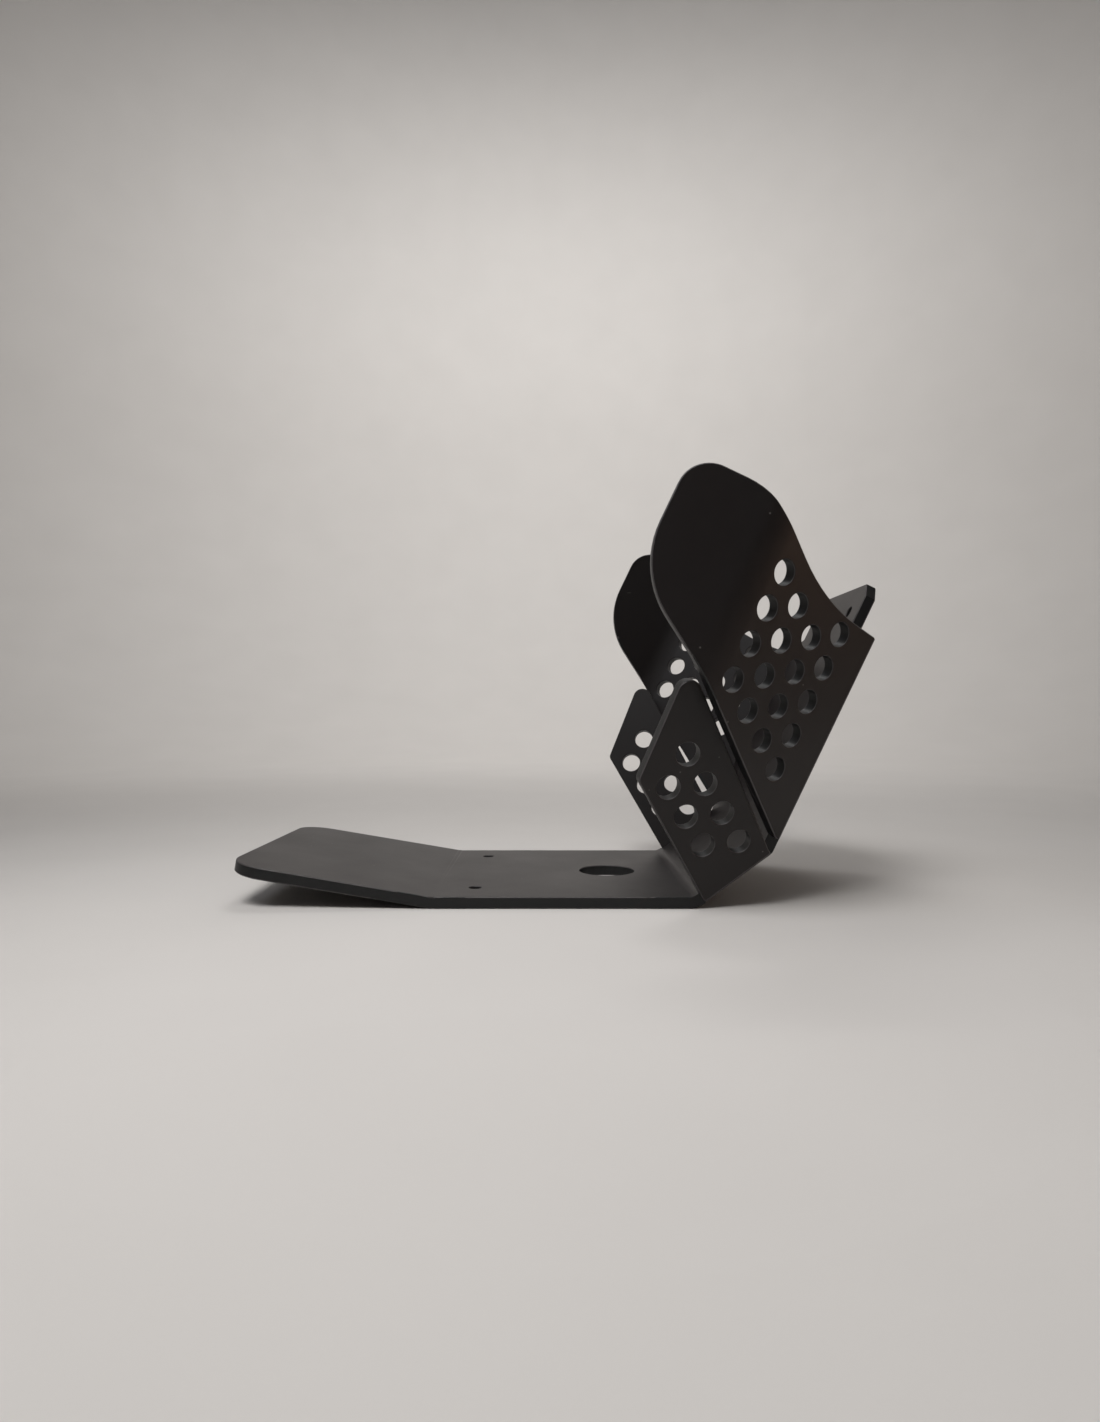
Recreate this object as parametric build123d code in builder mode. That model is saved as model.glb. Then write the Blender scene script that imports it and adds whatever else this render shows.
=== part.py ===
from build123d import *
from math import cos, radians, sin
import os

# A motorcycle skid plate: one sheet of tough black plastic, cut flat and folded warm.
# X runs forward, Y to the left and Z up. The origin is the middle of the flat base, on its underside.
# Lengths along the panels are measured on the outer face, between the sharp corners of the folds.
# The folds of the wings are grooved inside and sharp outside; the two bends at the base are soft.

# The sheet and its folds
sheet = 6.0
edge_break = 0.6
rear_bend_radius = 20.0
ramp_bend_radius = 7.0
ear_bend_radius = 30.0
fold_radius = 3.0
fold_relief = 1.0
fold_relief_radius = 2.0

# The spine: rear panel, flat base, ramp, front panel and tongue
base_length = 133.0
base_width = 142.0
rear_length = 104.0
rear_rise = 9.5
rear_corner_radius = 18.0
ramp_length = 46.5
ramp_angle = 36.3
front_length = 118.3
front_angle = 64.4
panel_width = 138.0
shoulder_rise = 7.0
tongue_width = 82.0
tongue_height = 26.5
tongue_chamfer = 8.0

# The lower wing, folded up along the ramp
lower_wing_fold = 72.4
lower_fold_first = 4.9
lower_fold_last = 45.6
lower_wing_lean = 18.8
lower_wing_rear_height = 73.0
lower_wing_height = 105.7
lower_wing_rear_lean = 8.2
lower_wing_rear_radius = 4.0
lower_wing_top_radius = 6.0

# The upper wing, folded back along the front panel, with an ear that stands parallel to the mid-plane
upper_wing_fold = 59.3
upper_fold_first = 7.2
wing_reach = 83.8
ear_reach = 49.5
ear_height = 148.0
ear_front = 96.3
wing_top_level = 39.8
wing_top_sweep_radius = 95.0
ear_front_radius = 36.0
ear_top_radius = 15.0
ear_rear_radius = 46.0
ear_rear_corner = 89.7

# The round holes, on a triangular lattice
hole_diameter = 12.0
hole_pitch = 18.0
hole_column_step = 16.0
upper_hole_first = 37.6
upper_hole_inset = 21.9
upper_hole_counts = (5, 4, 4, 4)
lower_hole_first = 15.0
lower_hole_inset = 35.8
lower_hole_lean = 3.7
lower_hole_counts = (4, 3)

# Fixing bolts and the opening below the engine's drain plug
bolt_hole = 6.6
bolt_seat = 18.0
bolt_seat_depth = 2.5
rear_bolt_place = 46.0
rear_bolt_spacing = 96.0
front_bolt_spacing = 50.0
front_bolt_drop = 16.0
drain_hole = 32.0
drain_place = 26.0

ear_fold = 90.0 - upper_wing_fold
trim_spare = 2.0


def step(angle, length):
    """A move in the side view, at an angle above the forward direction."""
    return Vector(length * cos(radians(angle)), length * sin(radians(angle)))


def panel_plane(corner, angle):
    """A right-hand fold line: x up the panel, y out of its side, z out of its outer face."""
    return Plane(
        origin=(corner.X, -panel_width / 2, corner.Y),
        x_dir=(cos(radians(angle)), 0, sin(radians(angle))),
        z_dir=(sin(radians(angle)), 0, -cos(radians(angle))),
    )


def tilted(plane, angle):
    """A plane turned about its own x axis, with its y axis swung in behind the sheet."""
    return Plane(plane.location * Rotation(-angle, 0, 0))


def after_fold(start, angle):
    """The outer face of the sheet past a sharp fold that starts at a fold line."""
    turned = tilted(start, angle)
    turned.origin = start.origin + (turned.z_dir - start.z_dir) * fold_radius
    return turned


def fold(start, first, last, angle):
    """Adds the rounded outside of a fold between two panels."""
    with BuildSketch(Plane(start.origin, x_dir=start.x_dir, z_dir=start.y_dir)) as section:
        with Locations((first, 0)):
            Rectangle(last - first, fold_radius, align=Align.MIN)
        chamfer(section.vertices().group_by(Axis.Y)[0], edge_break)
    centre_line = Axis(start.origin - start.z_dir * fold_radius, -start.x_dir)
    revolve(section.sketch, axis=centre_line, revolution_arc=angle)


def hole_field(counts):
    """Draws columns of holes, each next column to the left and half a pitch higher."""
    for column, count in enumerate(counts):
        for row in range(count):
            with Locations((-column * hole_column_step, (row + column / 2) * hole_pitch)):
                Circle(hole_diameter / 2)


def outer_rims(part, outward):
    """The edges where the outer face of the sheet ends at a cut side."""
    outer_faces = part.faces().filter_by(lambda face: face.normal_at().get_angle(outward) < 60)
    edges = [edge for face in outer_faces for edge in face.edges()]
    return ShapeList(edge for edge in edges if edges.count(edge) == 1)


def free_rims(wing, flat):
    """The outer edges of a wing apart from the one at its fold."""
    return outer_rims(wing, flat.z_dir).sort_by(lambda rim: flat.to_local_coords(rim.center()).Y)[1:]


# Corners of the spine in the side view
rear_corner = Vector(-base_length / 2, 0)
ramp_corner = Vector(base_length / 2, 0)
front_corner = ramp_corner + step(ramp_angle, ramp_length)
rear_end = rear_corner - step(-rear_rise, rear_length)
tongue_top = front_length + shoulder_rise + tongue_height
front_end = front_corner + step(front_angle, tongue_top)
lower_fold_line = panel_plane(ramp_corner, ramp_angle)
upper_fold_line = panel_plane(front_corner, front_angle)
front_face = Plane(
    origin=(front_corner.X, 0, front_corner.Y),
    x_dir=upper_fold_line.x_dir,
    z_dir=upper_fold_line.z_dir,
)

# Spine: the base and rear panel are wider than the panels that carry the wings
with BuildPart() as spine:
    with BuildSketch(Plane.XZ) as side_view:
        with BuildLine():
            underside = FilletPolyline(
                rear_end, rear_corner, ramp_corner, front_corner, front_end,
                radius=[rear_bend_radius + sheet, ramp_bend_radius + sheet, fold_radius],
            )
            offset(underside, amount=sheet, side=Side.LEFT)
        make_face()
    extrude(amount=panel_width / 2, both=True)
    with BuildSketch(Plane.XZ):
        add(side_view.sketch_local)
        wing_start = ramp_corner + step(ramp_angle, lower_fold_first)
        split(bisect_by=Plane(wing_start, z_dir=step(ramp_angle, 1)), keep=Keep.BOTTOM)
    extrude(amount=base_width / 2, both=True)
    rear_face = spine.faces().sort_by(Axis.X)[0]
    fillet(rear_face.edges().filter_by(Axis.Y, reverse=True), rear_corner_radius)
    with BuildSketch(front_face):
        with BuildLine():
            Polyline(
                (front_length, panel_width / 2),
                (front_length, panel_width / 2 - fold_relief),
                (front_length + shoulder_rise, tongue_width / 2),
                (tongue_top - tongue_chamfer, tongue_width / 2),
                (tongue_top, tongue_width / 2 - tongue_chamfer),
                (tongue_top, panel_width / 2),
                close=True,
            )
        make_face()
        mirror(about=Plane.XZ)
    extrude(amount=-sheet, mode=Mode.SUBTRACT)
    chamfer(
        outer_rims(spine.part, lower_fold_line.z_dir).filter_by(
            lambda rim: rim.center().X < wing_start.X - edge_break
            or front_face.to_local_coords(rim.center()).X > front_length - edge_break
        ),
        edge_break,
    )

# Lower wing
lower_flat = after_fold(lower_fold_line, lower_wing_fold)
with BuildPart() as lower_wing:
    with BuildSketch(lower_flat):
        with BuildLine():
            FilletPolyline(
                (lower_fold_first, 0),
                (lower_fold_first, fold_relief),
                (lower_fold_first + lower_wing_rear_lean, lower_wing_rear_height),
                (lower_fold_last + lower_wing_lean, lower_wing_height),
                (lower_fold_last, fold_relief),
                (lower_fold_last, 0),
                radius=[
                    fold_relief_radius,
                    lower_wing_rear_radius,
                    lower_wing_top_radius,
                    fold_relief_radius,
                ],
            )
            Line((lower_fold_last, 0), (lower_fold_first, 0))
        make_face()
    extrude(amount=-sheet)
    chamfer(free_rims(lower_wing.part, lower_flat), edge_break)
    with BuildSketch(lower_flat):
        with Locations(Location((lower_hole_inset, lower_hole_first), -lower_hole_lean)):
            hole_field(lower_hole_counts)
    extrude(amount=-sheet, mode=Mode.SUBTRACT)
    fold(lower_fold_line, lower_fold_first, lower_fold_last, lower_wing_fold)

# Upper wing and ear: the outer skin is bent from one profile, trimmed to the outline and thickened
upper_flat = after_fold(upper_fold_line, upper_wing_fold)
trim_plane = tilted(upper_flat, ear_fold / 2)
squeeze = cos(radians(ear_fold / 2))
with BuildLine(Plane(upper_flat.origin, x_dir=upper_flat.y_dir, z_dir=upper_flat.x_dir)) as wing_section:
    FilletPolyline(
        (0, 0),
        (wing_reach, 0),
        tuple(Vector(wing_reach, 0) + step(-ear_fold, trim_spare * ear_reach)),
        radius=ear_bend_radius + sheet,
    )
with BuildPart() as wing_outline:
    with BuildSketch(trim_plane):
        with BuildLine():
            FilletPolyline(
                (front_length, 0),
                (front_length, wing_top_level * squeeze),
                (ear_height, ear_front * squeeze),
                (ear_height, (wing_reach + ear_reach) * squeeze),
                (ear_rear_corner, (wing_reach + ear_reach) * squeeze),
                (upper_fold_first, fold_relief * squeeze),
                (upper_fold_first, 0),
                radius=[
                    wing_top_sweep_radius,
                    ear_front_radius,
                    ear_top_radius,
                    ear_rear_radius,
                    fold_relief_radius,
                ],
            )
            Line((upper_fold_first, 0), (front_length, 0))
        make_face()
    extrude(amount=ear_reach, both=True)
skin = [Face.extrude(edge, upper_flat.x_dir * trim_spare * ear_height) for edge in wing_section.edges()]
with BuildPart() as upper_wing:
    for strip in skin:
        thicken((strip & wing_outline.part).face(), amount=-sheet, normal_override=upper_flat.z_dir)
    chamfer(free_rims(upper_wing.part, upper_flat), edge_break)
    with BuildSketch(upper_flat):
        with Locations(Location((upper_hole_first, upper_hole_inset), -90)):
            hole_field(upper_hole_counts)
    extrude(amount=sheet * trim_spare, both=True, mode=Mode.SUBTRACT)
    fold(upper_fold_line, upper_fold_first, front_length, upper_wing_fold)

with BuildPart() as skid_plate:
    add(spine.part)
    add(lower_wing.part)
    add(upper_wing.part)
    mirror(lower_wing.part, about=Plane.XZ)
    mirror(upper_wing.part, about=Plane.XZ)
    with BuildSketch():
        with Locations((drain_place, 0)):
            Circle(drain_hole / 2)
    extrude(amount=sheet, mode=Mode.SUBTRACT)
    with Locations(-Plane.XY):
        with Locations((-rear_bolt_place, 0)):
            with GridLocations(0, rear_bolt_spacing, 1, 2):
                CounterBoreHole(bolt_hole / 2, bolt_seat / 2, bolt_seat_depth, depth=sheet)
    with Locations(front_face):
        with Locations((tongue_top - front_bolt_drop, 0)):
            with GridLocations(0, front_bolt_spacing, 1, 2):
                CounterBoreHole(bolt_hole / 2, bolt_seat / 2, bolt_seat_depth, depth=sheet)

skid_plate.part.label = "skid_plate"
os.makedirs("parts", exist_ok=True)
export_step(skid_plate.part, "parts/skid_plate.step")
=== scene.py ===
from math import cos, pi, radians, sin

import bpy
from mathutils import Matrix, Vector

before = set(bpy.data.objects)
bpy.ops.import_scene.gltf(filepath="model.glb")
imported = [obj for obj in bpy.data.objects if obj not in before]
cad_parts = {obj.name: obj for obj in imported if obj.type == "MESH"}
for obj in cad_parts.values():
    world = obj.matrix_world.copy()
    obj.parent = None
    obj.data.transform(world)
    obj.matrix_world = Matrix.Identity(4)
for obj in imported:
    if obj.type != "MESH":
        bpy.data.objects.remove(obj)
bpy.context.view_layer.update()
MM = 0.001

# The folded sheet, in millimetres and degrees, in the frame of the CAD model
SHEET = 6.0
REAR_CORNER, REAR_RISE, REAR_BEND = (-66.5, 0.0, 0.0), 9.5, 20.0
RAMP_CORNER, RAMP_ANGLE, RAMP_BEND = (66.5, 0.0, 0.0), 36.3, 7.0
RAMP_LENGTH, FRONT_ANGLE = 46.5, 64.4
FOLD_LINE, FOLD_RADIUS = 69.0, 3.0
LOWER_FOLD, LOWER_FOLD_SPAN = 72.4, (4.9, 45.6)
UPPER_FOLD, UPPER_FOLD_SPAN = 59.3, (7.2, 118.3)
WING_REACH, EAR_BEND = 83.8, 30.0

# Where a panel's finish stops: the spine's a little outside the folds and the wings' a little inside them.
# The two wings are parted by a plane along the slit between them, given by its direction and its distance.
SPINE_EDGE = FOLD_LINE + 0.75 * FOLD_RADIUS
WINGS_EDGE = FOLD_LINE - 0.6 * SHEET
SLIT_WAY, SLIT_LEVEL = Vector((0.883, 0.243, 0.402)), 123.8

# A broken rim's width, and how near to a face a point counts as on it
RIM_BREAK = 0.6
FACE_BAND = 0.1

# Square rims are rounded, but not short pieces of them, nor those at the corners where the folds end
RIM_TURN, RIM_TURN_SPARE = 90.0, 15.0
SHORTEST_RIM = 0.3
TIGHT_CORNERS = ((69.5, 70.5, 4.0), (102.0, 70.0, 31.0), (149.7, 68.0, 136.8))
CORNER_ROOM = 6.0
RIM_RADIUS, RIM_STEPS = 0.5, 3

# Points this near are one point, faces within this turn are one plane and edges that turn less than this are
# soft. The last value, of 100, gives large faces most say in the shading.
SAME_POINT = 0.002
SAME_PLANE = 0.3
SOFT_TURN = 35.0
LARGE_FACE_SAY = 100

# The stage in metres, and the steps of its curve and of its round
FLOOR_RADIUS, CURVE_RADIUS, WALL_HEIGHT = 1.2, 1.0, 3.2
CURVE_STEPS, ROUND_STEPS = 12, 96

# The camera: its place in millimetres, and its focal length in pixels of a frame that is 1422 pixels high
CAMERA_PLACE = (-6.91, -492.74, 98.27)
FOCAL_PIXELS, FRAME_PIXELS, SENSOR = 850.0, 1422.0, 36.0
NEAREST_SEEN = 0.01


def linear(code):
    """An sRGB hex colour as the linear values that Blender's sockets take."""
    parts = [int(code[i:i + 2], 16) / 255 for i in (1, 3, 5)]
    return [p / 12.92 if p <= 0.04045 else ((p + 0.055) / 1.055) ** 2.4 for p in parts] + [1.0]


def add(tree, kind, inputs=None, **settings):
    """Adds a node with its settings, and sets its inputs or links them to other nodes and their sockets."""
    made = tree.nodes.new(kind)
    for name, value in settings.items():
        setattr(made, name, value)
    for name, value in (inputs or {}).items():
        if isinstance(value, bpy.types.Node):
            value = next(socket for socket in value.outputs if socket.enabled)
        if isinstance(value, bpy.types.NodeSocket):
            tree.links.new(value, made.inputs[name])
        else:
            made.inputs[name].default_value = value
    return made


def slope(angle):
    """Direction up a panel in the side view, and the way its outer face looks."""
    a = radians(angle)
    return Vector((cos(a), 0, sin(a))), Vector((sin(a), 0, -cos(a)))


def sheet_faces():
    """The folded sheet, for one side.

    Flat outer faces are (zone, normal, point), soft bends (zone, axis, point on the axis, inner radius) and
    sharp folds (axis, point on the axis, first, last).
    """
    outward, down = Vector((0, 1, 0)), Vector((0, 0, -1))
    rear, ramp = Vector(REAR_CORNER), Vector(RAMP_CORNER)
    rear_out = slope(-REAR_RISE)[1]
    ramp_up, ramp_out = slope(RAMP_ANGLE)
    front_up, front_out = slope(FRONT_ANGLE)
    front = ramp + ramp_up * RAMP_LENGTH
    flats = [("spine", *flat) for flat in (
        (down, rear), (rear_out, rear), (ramp_out, ramp), (front_out, front),
    )]

    folds = []
    for zone, corner, up, out, fold, span in (
        ("lower wing", ramp, ramp_up, ramp_out, LOWER_FOLD, LOWER_FOLD_SPAN),
        ("upper wing", front, front_up, front_out, UPPER_FOLD, UPPER_FOLD_SPAN),
    ):
        turn = radians(fold)
        wing_out = out * cos(turn) + outward * sin(turn)
        wing_along = outward * cos(turn) - out * sin(turn)
        axis_point = corner + outward * FOLD_LINE - out * FOLD_RADIUS
        wing_start = axis_point + wing_out * FOLD_RADIUS
        folds.append((up, axis_point, *span))
        flats.append((zone, wing_out, wing_start))
    # The ear goes on from the upper wing, which is the last of the two.
    ear_edge = wing_start + wing_along * WING_REACH
    flats.append(("upper wing", outward, ear_edge))

    bends = []
    for zone, corner, first, second, axis, radius in (
        ("spine", rear, rear_out, down, outward, REAR_BEND),
        ("spine", ramp, down, ramp_out, outward, RAMP_BEND),
        ("upper wing", ear_edge, wing_out, outward, front_up, EAR_BEND),
    ):
        middle = (first + second).normalized()
        to_axis = (radius + SHEET) / cos(first.angle(second) / 2)
        bends.append((zone, axis, corner - middle * to_axis, radius))
    return flats, bends, folds


def sheet_finishes(tree, mm):
    """Finds where the sheet is pressed and where it is a rim, and how far a point is from the sheet's middle.

    That distance is the point's depth. At half a sheet the point is on the pressed face, just short of that
    on a broken rim, and nearer the middle on a routed side. The outside of a sharp fold counts as a rim.
    """
    axes = add(tree, "ShaderNodeSeparateXYZ", {0: mm}).outputs
    from_middle = add(tree, "ShaderNodeMath", {0: axes["Y"]}, operation="ABSOLUTE")
    either_side = add(tree, "ShaderNodeCombineXYZ", {"X": axes["X"], "Y": from_middle, "Z": axes["Z"]})

    # A panel counts only in its zone: the spine between the folds, the wings outside them, each on its own
    # side of the slit.
    outside = add(tree, "ShaderNodeMath", {0: from_middle, 1: SPINE_EDGE}, operation="GREATER_THAN")
    inside = add(tree, "ShaderNodeMath", {0: from_middle, 1: WINGS_EDGE}, operation="LESS_THAN")
    ahead = add(tree, "ShaderNodeVectorMath", {0: either_side, 1: SLIT_WAY}, operation="DOT_PRODUCT")
    below = add(tree, "ShaderNodeMath", {0: ahead, 1: SLIT_LEVEL}, operation="LESS_THAN")
    above = add(tree, "ShaderNodeMath", {0: ahead, 1: SLIT_LEVEL}, operation="GREATER_THAN")
    elsewhere = {
        "spine": outside,
        "lower wing": add(tree, "ShaderNodeMath", {0: inside, 1: above}, operation="MAXIMUM"),
        "upper wing": add(tree, "ShaderNodeMath", {0: inside, 1: below}, operation="MAXIMUM"),
    }

    flats, bends, folds = sheet_faces()
    levels = []
    for zone, normal, point in flats:
        reach = add(tree, "ShaderNodeVectorMath", {0: either_side, 1: normal}, operation="DOT_PRODUCT")
        levels.append((zone, reach, normal.dot(point) - SHEET / 2))
    for zone, axis, point, radius in bends:
        arm = add(tree, "ShaderNodeVectorMath", {0: either_side, 1: point}, operation="SUBTRACT")
        across = add(tree, "ShaderNodeVectorMath", {0: arm, 1: axis}, operation="CROSS_PRODUCT")
        reach = add(tree, "ShaderNodeVectorMath", {0: across}, operation="LENGTH")
        levels.append((zone, reach, radius + SHEET / 2))
    pressed, deepest = 0.0, SHEET
    for zone, reach, middle in levels:
        depth = add(tree, "ShaderNodeMath", {0: reach, 1: middle}, operation="SUBTRACT")
        depth = add(tree, "ShaderNodeMath", {0: depth}, operation="ABSOLUTE")
        depth = add(tree, "ShaderNodeMath", {
            0: elsewhere[zone], 1: SHEET, 2: depth,
        }, operation="MULTIPLY_ADD")
        deepest = add(tree, "ShaderNodeMath", {0: deepest, 1: depth}, operation="MINIMUM")
        on_face = add(tree, "ShaderNodeMath", {0: depth, 1: SHEET / 2, 2: FACE_BAND}, operation="COMPARE")
        pressed = add(tree, "ShaderNodeMath", {0: pressed, 1: on_face}, operation="MAXIMUM")
    rim = add(tree, "ShaderNodeMath", {
        0: deepest, 1: (SHEET - RIM_BREAK) / 2, 2: RIM_BREAK / 2,
    }, operation="COMPARE")
    for axis, point, first, last in folds:
        arm = add(tree, "ShaderNodeVectorMath", {0: either_side, 1: point}, operation="SUBTRACT")
        across = add(tree, "ShaderNodeVectorMath", {0: arm, 1: axis}, operation="CROSS_PRODUCT")
        reach = add(tree, "ShaderNodeVectorMath", {0: across}, operation="LENGTH")
        on_fold = add(tree, "ShaderNodeMath", {0: reach, 1: FOLD_RADIUS, 2: FACE_BAND}, operation="COMPARE")
        along = add(tree, "ShaderNodeVectorMath", {0: arm, 1: axis}, operation="DOT_PRODUCT")
        on_span = add(tree, "ShaderNodeMath", {
            0: along, 1: (first + last) / 2, 2: (last - first) / 2,
        }, operation="COMPARE")
        on_fold = add(tree, "ShaderNodeMath", {0: on_fold, 1: on_span}, operation="MULTIPLY")
        rim = add(tree, "ShaderNodeMath", {0: rim, 1: on_fold}, operation="MAXIMUM")
    return pressed, rim, deepest


def polyethylene_sheet():
    """Black high-density polyethylene, pressed into sheet between matt plates, routed and folded warm.

    The pressed face is a satin brown-black with a very fine grain, a few nicks and some dust. Routed sides
    are a cooler, duller black with lines left by the cutter. Broken rims and the outside of a sharp fold are
    painted a paler grey, a painted highlight that draws each edge as a thin pale line.
    """
    made = bpy.data.materials.new("polyethylene_sheet")
    made.use_nodes = True
    tree = made.node_tree
    shader = tree.nodes["Principled BSDF"]
    place = add(tree, "ShaderNodeTexCoord").outputs["Object"]
    mm = add(tree, "ShaderNodeVectorMath", {0: place, "Scale": 1 / MM}, operation="SCALE")
    pressed, rim, deepest = sheet_finishes(tree, mm)

    # Cloudy change of tone over some 45 mm, drawn out along the sheet, as satin plastic shows once handled.
    cloud_size, cloud_lean = (45, 45, 110), 60
    drawn_out = add(tree, "ShaderNodeMapping", {
        "Vector": mm, "Rotation": (0.0, radians(cloud_lean), 0.0), "Scale": [1 / size for size in cloud_size],
    })
    cloud = add(tree, "ShaderNodeTexNoise", {
        "Vector": drawn_out, "Scale": 1.0, "Detail": 4.0, "Roughness": 0.55,
    })
    face = add(tree, "ShaderNodeMix", {
        "Factor": cloud, "A": linear("#0d0808"), "B": linear("#17100f"),
    }, data_type="RGBA")

    # Nicks are 3 mm long and about 0.1 mm wide; they are drawn at 0.4 mm so that the render shows them. Each
    # lies at the heart of a long cell, and the shares of the cell are where it starts and ends to fade.
    nick_cell, nick_fade, nick_strength = (90, 11, 11), (0.012, 0.022), 0.3
    marks = 0.0
    for turn in ((0.0, 0.5, 0.2), (0.3, 1.7, 0.0)):
        along = add(tree, "ShaderNodeMapping", {
            "Vector": mm, "Rotation": turn, "Scale": [1 / size for size in nick_cell],
        })
        nick = add(tree, "ShaderNodeTexVoronoi", {"Vector": along, "Scale": 1.0})
        nick = add(tree, "ShaderNodeMapRange", {
            "Value": nick, "From Min": nick_fade[0], "From Max": nick_fade[1],
            "To Min": nick_strength, "To Max": 0.0,
        })
        marks = add(tree, "ShaderNodeMath", {0: marks, 1: nick}, operation="MAXIMUM")

    # Specks of dust up to a millimetre across, one to some 15 square centimetres.
    dust_cell, dust_fade, dust_strength = 11, (0.2, 0.6), 0.45
    dust = add(tree, "ShaderNodeTexVoronoi", {"Vector": mm, "Scale": 1 / dust_cell})
    dust = add(tree, "ShaderNodeMapRange", {
        "Value": dust, "From Min": dust_fade[0] / dust_cell, "From Max": dust_fade[1] / dust_cell,
        "To Min": dust_strength, "To Max": 0.0,
    })
    marks = add(tree, "ShaderNodeMath", {0: marks, 1: dust}, operation="MAXIMUM")
    face = add(tree, "ShaderNodeMix", {
        "Factor": marks, "A": face, "B": linear("#8a8784"),
    }, data_type="RGBA")
    # Routed sides are near black. Broken rims and the outside of sharp folds get a paler grey, which is a
    # painted highlight along each edge.
    side_and_rim_highlight = add(tree, "ShaderNodeMix", {
        "Factor": rim, "A": linear("#08090a"), "B": linear("#454142"),
    }, data_type="RGBA")
    colour = add(tree, "ShaderNodeMix", {"Factor": pressed, "A": side_and_rim_highlight, "B": face}, data_type="RGBA")
    tree.links.new(colour.outputs["Result"], shader.inputs["Base Color"])

    # The press plates' grain is about 0.3 mm and the cutter's lines about 0.2 mm; the grain is drawn at
    # 0.9 mm and the lines at 0.7 mm so that the render can show them.
    grain_size, line_size, relief_depth = 0.9, 0.7, 0.05
    grain = add(tree, "ShaderNodeTexNoise", {
        "Vector": mm, "Scale": 1 / grain_size, "Detail": 2.0, "Roughness": 0.6,
    })
    lines = add(tree, "ShaderNodeTexNoise", {
        "W": deepest, "Scale": 1 / line_size, "Detail": 1.0,
    }, noise_dimensions="1D")
    relief = add(tree, "ShaderNodeMix", {"Factor": pressed, "A": lines, "B": grain}, data_type="FLOAT")
    bump = add(tree, "ShaderNodeBump", {"Height": relief, "Strength": 0.3, "Distance": relief_depth * MM})
    tree.links.new(bump.outputs["Normal"], shader.inputs["Normal"])

    # Handling polishes the satin face a little, in the same clouds as its tone; a routed side is even.
    satin, polished = 0.46, 0.4
    gloss = add(tree, "ShaderNodeMapRange", {
        "Value": cloud, "From Min": 0.3, "From Max": 0.7, "To Min": satin, "To Max": polished,
    })
    gloss = add(tree, "ShaderNodeMix", {"Factor": pressed, "A": satin, "B": gloss}, data_type="FLOAT")
    tree.links.new(gloss.outputs["Result"], shader.inputs["Roughness"])
    shader.inputs["IOR"].default_value = 1.54
    shader.inputs["Specular IOR Level"].default_value = 0.38
    return made


def studio_paper():
    """Pale grey paper, rolled out under the part and up all round, which shows as an even matt ground.

    In front of the part it is a darker grey, so that black plastic has a dark side to mirror.
    """
    made = bpy.data.materials.new("studio_paper")
    made.use_nodes = True
    tree = made.node_tree
    shader = tree.nodes["Principled BSDF"]
    place = add(tree, "ShaderNodeTexCoord").outputs["Object"]

    # Fibres are far too fine to show; the paper's slight unevenness over 120 mm stands for them.
    unevenness = 0.12
    fibre = add(tree, "ShaderNodeTexNoise", {"Vector": place, "Scale": 1 / unevenness, "Detail": 2.0})
    pale = add(tree, "ShaderNodeMix", {
        "Factor": fibre, "A": linear("#c7c3bf"), "B": linear("#cdc9c5"),
    }, data_type="RGBA")
    dark_from, dark_to = -0.5, -1.6
    forward = add(tree, "ShaderNodeSeparateXYZ", {0: place}).outputs["Y"]
    dark = add(tree, "ShaderNodeMapRange", {
        "Value": forward, "From Min": dark_from, "From Max": dark_to,
    }, interpolation_type="SMOOTHSTEP")
    tone = add(tree, "ShaderNodeMix", {
        "Factor": dark, "A": pale, "B": linear("#949392"),
    }, data_type="RGBA")
    tree.links.new(tone.outputs["Result"], shader.inputs["Base Color"])
    shader.inputs["Roughness"].default_value = 0.9
    return made


def mesh_tree(name):
    """An empty tree for a modifier, and the mesh that comes into it."""
    tree = bpy.data.node_groups.new(name, "GeometryNodeTree")
    for way in ("INPUT", "OUTPUT"):
        tree.interface.new_socket("Geometry", in_out=way, socket_type="NodeSocketGeometry")
    return tree, add(tree, "NodeGroupInput").outputs["Geometry"]


def rim_finder():
    """Marks the sheet's square rims for rounding."""
    tree, whole = mesh_tree("find_rims")
    turn = add(tree, "GeometryNodeInputMeshEdgeAngle").outputs["Unsigned Angle"]
    ends = add(tree, "GeometryNodeInputMeshEdgeVertices").outputs
    length = add(tree, "ShaderNodeVectorMath", {
        0: ends["Position 1"], 1: ends["Position 2"],
    }, operation="DISTANCE")
    square = add(tree, "ShaderNodeMath", {
        0: turn, 1: radians(RIM_TURN), 2: radians(RIM_TURN_SPARE),
    }, operation="COMPARE")
    long = add(tree, "ShaderNodeMath", {0: length, 1: SHORTEST_RIM * MM}, operation="GREATER_THAN")
    rim = add(tree, "ShaderNodeMath", {0: square, 1: long}, operation="MULTIPLY")
    place = add(tree, "GeometryNodeInputPosition")
    either_side = add(tree, "ShaderNodeVectorMath", {0: place}, operation="ABSOLUTE")
    for corner in TIGHT_CORNERS:
        away = add(tree, "ShaderNodeVectorMath", {
            0: either_side, 1: Vector(corner) * MM,
        }, operation="DISTANCE")
        clear = add(tree, "ShaderNodeMath", {0: away, 1: CORNER_ROOM * MM}, operation="GREATER_THAN")
        rim = add(tree, "ShaderNodeMath", {0: rim, 1: clear}, operation="MULTIPLY")
    marked = add(tree, "GeometryNodeStoreNamedAttribute", {
        "Geometry": whole, "Name": "bevel_weight_edge", "Value": rim,
    }, data_type="FLOAT", domain="EDGE")
    add(tree, "NodeGroupOutput", {"Geometry": marked.outputs["Geometry"]})
    return tree


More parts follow.
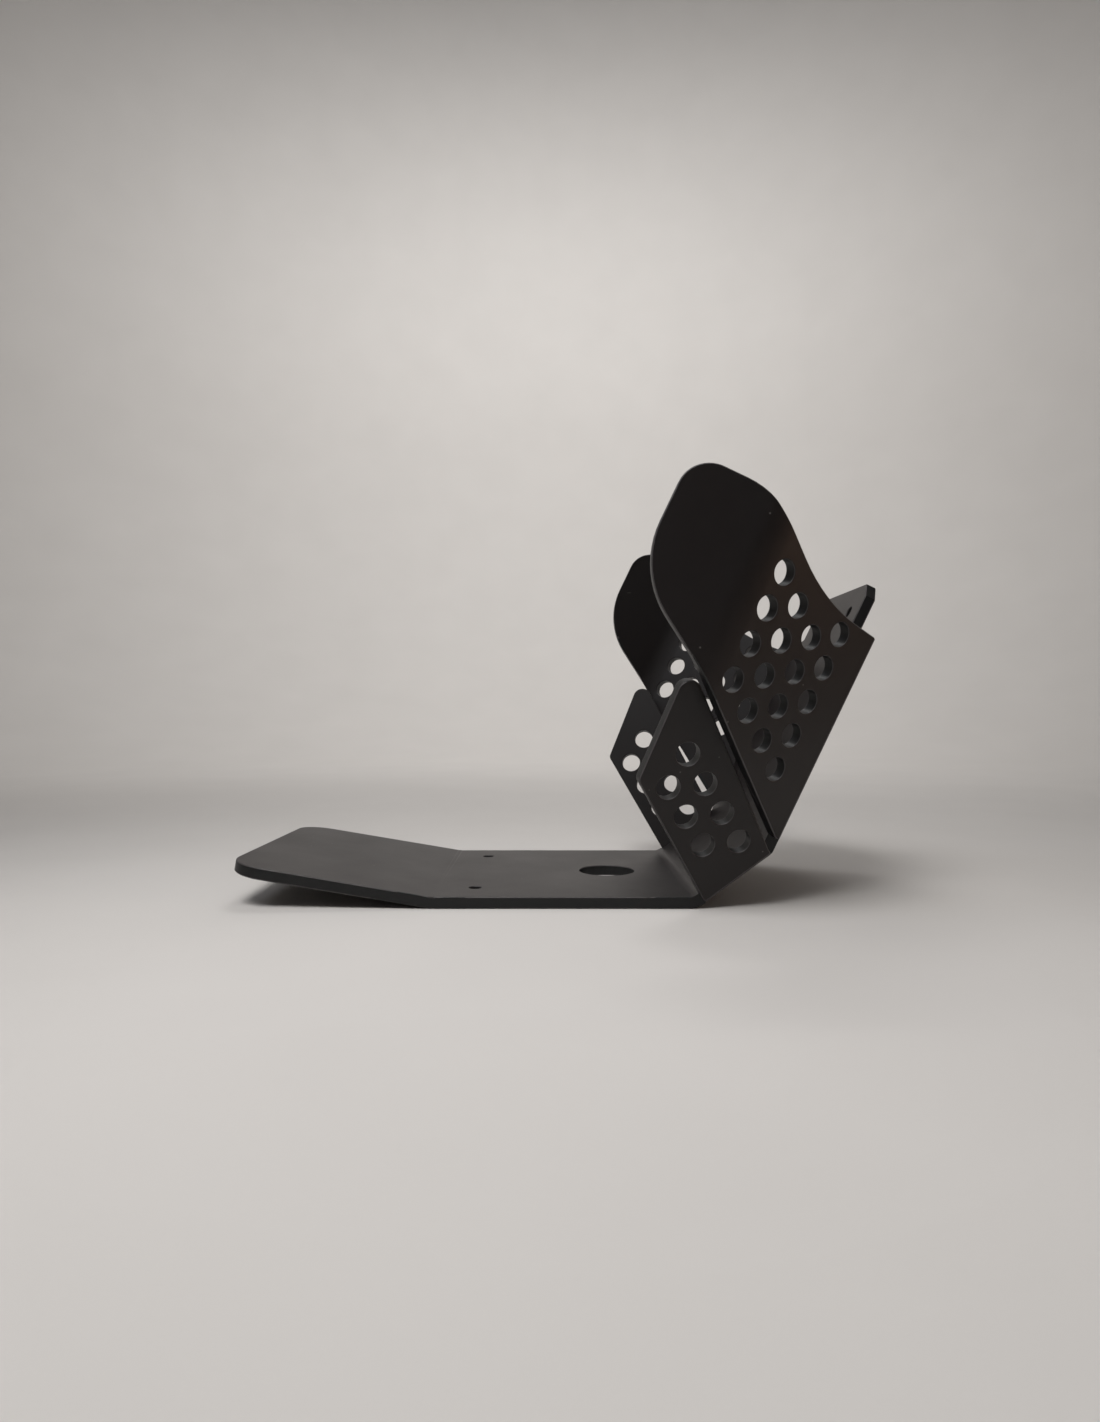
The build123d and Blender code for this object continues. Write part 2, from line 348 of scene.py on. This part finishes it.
def bend_smoother():
    """Shades the bends and rounded rims smooth, and keeps the sharper edges crisp."""
    tree, whole = mesh_tree("smooth_shading")
    turn = add(tree, "GeometryNodeInputMeshEdgeAngle").outputs["Unsigned Angle"]
    soft = add(tree, "ShaderNodeMath", {0: turn, 1: radians(SOFT_TURN)}, operation="LESS_THAN")
    faces = add(tree, "GeometryNodeSetShadeSmooth", {"Geometry": whole}, domain="FACE")
    edges = add(tree, "GeometryNodeSetShadeSmooth", {
        "Geometry": faces.outputs["Geometry"], "Shade Smooth": soft,
    }, domain="EDGE")
    add(tree, "NodeGroupOutput", {"Geometry": edges.outputs["Geometry"]})
    return tree


def round_stage():
    """Flat paper that curves up into a wall on every side."""
    profile = [(FLOOR_RADIUS, 0.0)]
    for step in range(1, CURVE_STEPS + 1):
        a = pi / 2 * step / CURVE_STEPS
        profile.append((FLOOR_RADIUS + CURVE_RADIUS * sin(a), CURVE_RADIUS * (1 - cos(a))))
    profile.append((FLOOR_RADIUS + CURVE_RADIUS, WALL_HEIGHT))
    angles = [2 * pi * step / ROUND_STEPS for step in range(ROUND_STEPS)]
    points = [(radius * cos(a), radius * sin(a), height) for radius, height in profile for a in angles]
    faces = [tuple(range(ROUND_STEPS))]
    for ring in range(len(profile) - 1):
        for step in range(ROUND_STEPS):
            here = ring * ROUND_STEPS + step
            beside = ring * ROUND_STEPS + (step + 1) % ROUND_STEPS
            faces.append((here, here + ROUND_STEPS, beside + ROUND_STEPS, beside))
    mesh = bpy.data.meshes.new("stage")
    mesh.from_pydata(points, [], faces)
    mesh.shade_smooth()
    mesh.materials.append(studio_paper())
    return bpy.data.objects.new("stage", mesh)


# The part: the triangles of each flat panel are joined, so that the rims around it can be rounded evenly.
# Then the bends are made smooth to the eye, and the large faces keep the panels looking flat.
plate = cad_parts["skid_plate"]
plate.material_slots[0].material = polyethylene_sheet()
weld = plate.modifiers.new("weld", "WELD")
weld.merge_threshold = SAME_POINT * MM
panels = plate.modifiers.new("whole_panels", "DECIMATE")
panels.decimate_type = "DISSOLVE"
panels.angle_limit = radians(SAME_PLANE)
plate.modifiers.new("find_rims", "NODES").node_group = rim_finder()
rims = plate.modifiers.new("rounded_rims", "BEVEL")
rims.width = RIM_RADIUS * MM
rims.segments = RIM_STEPS
rims.limit_method = "WEIGHT"
rims.use_clamp_overlap = False
rims.loop_slide = False
corners = plate.modifiers.new("closed_corners", "WELD")
corners.merge_threshold = SAME_POINT * MM
plate.modifiers.new("smooth_shading", "NODES").node_group = bend_smoother()
flats = plate.modifiers.new("flat_panels", "WEIGHTED_NORMAL")
flats.weight = LARGE_FACE_SAY
flats.keep_sharp = True

stage = round_stage()
bpy.context.scene.collection.objects.link(stage)

# Soft light: a lamp in front, above and to the left, that pools on the floor, a weaker one on the left, a
# faint warm one low on the right, and one on the paper behind the part and one on the paper in front of it.
# Places and sizes are in metres, spreads in degrees and powers in watts.
for name, place, aim, size, spread, power, tint in (
    ("top", (-0.3, -0.55, 1.1), (-0.02, -0.2, 0.0), 0.6, 56, 1.35, "#ffffff"),
    ("left", (-0.9, -0.3, 1.0), (-0.05, 0.0, 0.0), 0.5, 60, 0.22, "#f2f6ff"),
    ("right", (1.2, -0.45, 0.2), (0.12, -0.1, 0.12), 0.3, 45, 0.06, "#ffcaa8"),
    ("backdrop", (0.0, 0.7, 1.6), (0.0, 2.2, 0.5), 0.8, 180, 26.0, "#ffffff"),
    ("foredrop", (0.0, -0.9, 1.6), (0.0, -2.2, 0.5), 0.8, 180, 7.5, "#fbfcff"),
):
    lamp = bpy.data.lights.new(name, "AREA")
    lamp.shape = "DISK"
    lamp.size = size
    lamp.spread = radians(spread)
    lamp.energy = power
    lamp.color = linear(tint)[:3]
    holder = bpy.data.objects.new(name, lamp)
    holder.location = place
    holder.visible_camera = False
    holder.rotation_euler = (Vector(aim) - Vector(place)).to_track_quat("-Z", "Y").to_euler()
    bpy.context.scene.collection.objects.link(holder)

world = bpy.data.worlds.new("studio")
world.use_nodes = True
world.node_tree.nodes["Background"].inputs["Color"].default_value = linear("#c9ccd0")
world.node_tree.nodes["Background"].inputs["Strength"].default_value = 0.1
bpy.context.scene.world = world

# The camera stands level beside the part, square to it, as the photograph's did.
lens = bpy.data.cameras.new("camera")
lens.sensor_width = SENSOR
lens.lens = FOCAL_PIXELS / FRAME_PIXELS * SENSOR
lens.clip_start = NEAREST_SEEN
camera = bpy.data.objects.new("camera", lens)
camera.location = Vector(CAMERA_PLACE) * MM
camera.rotation_euler = (radians(90), 0, 0)
bpy.context.scene.collection.objects.link(camera)
bpy.context.scene.camera = camera
bpy.context.scene.view_settings.view_transform = "Standard"
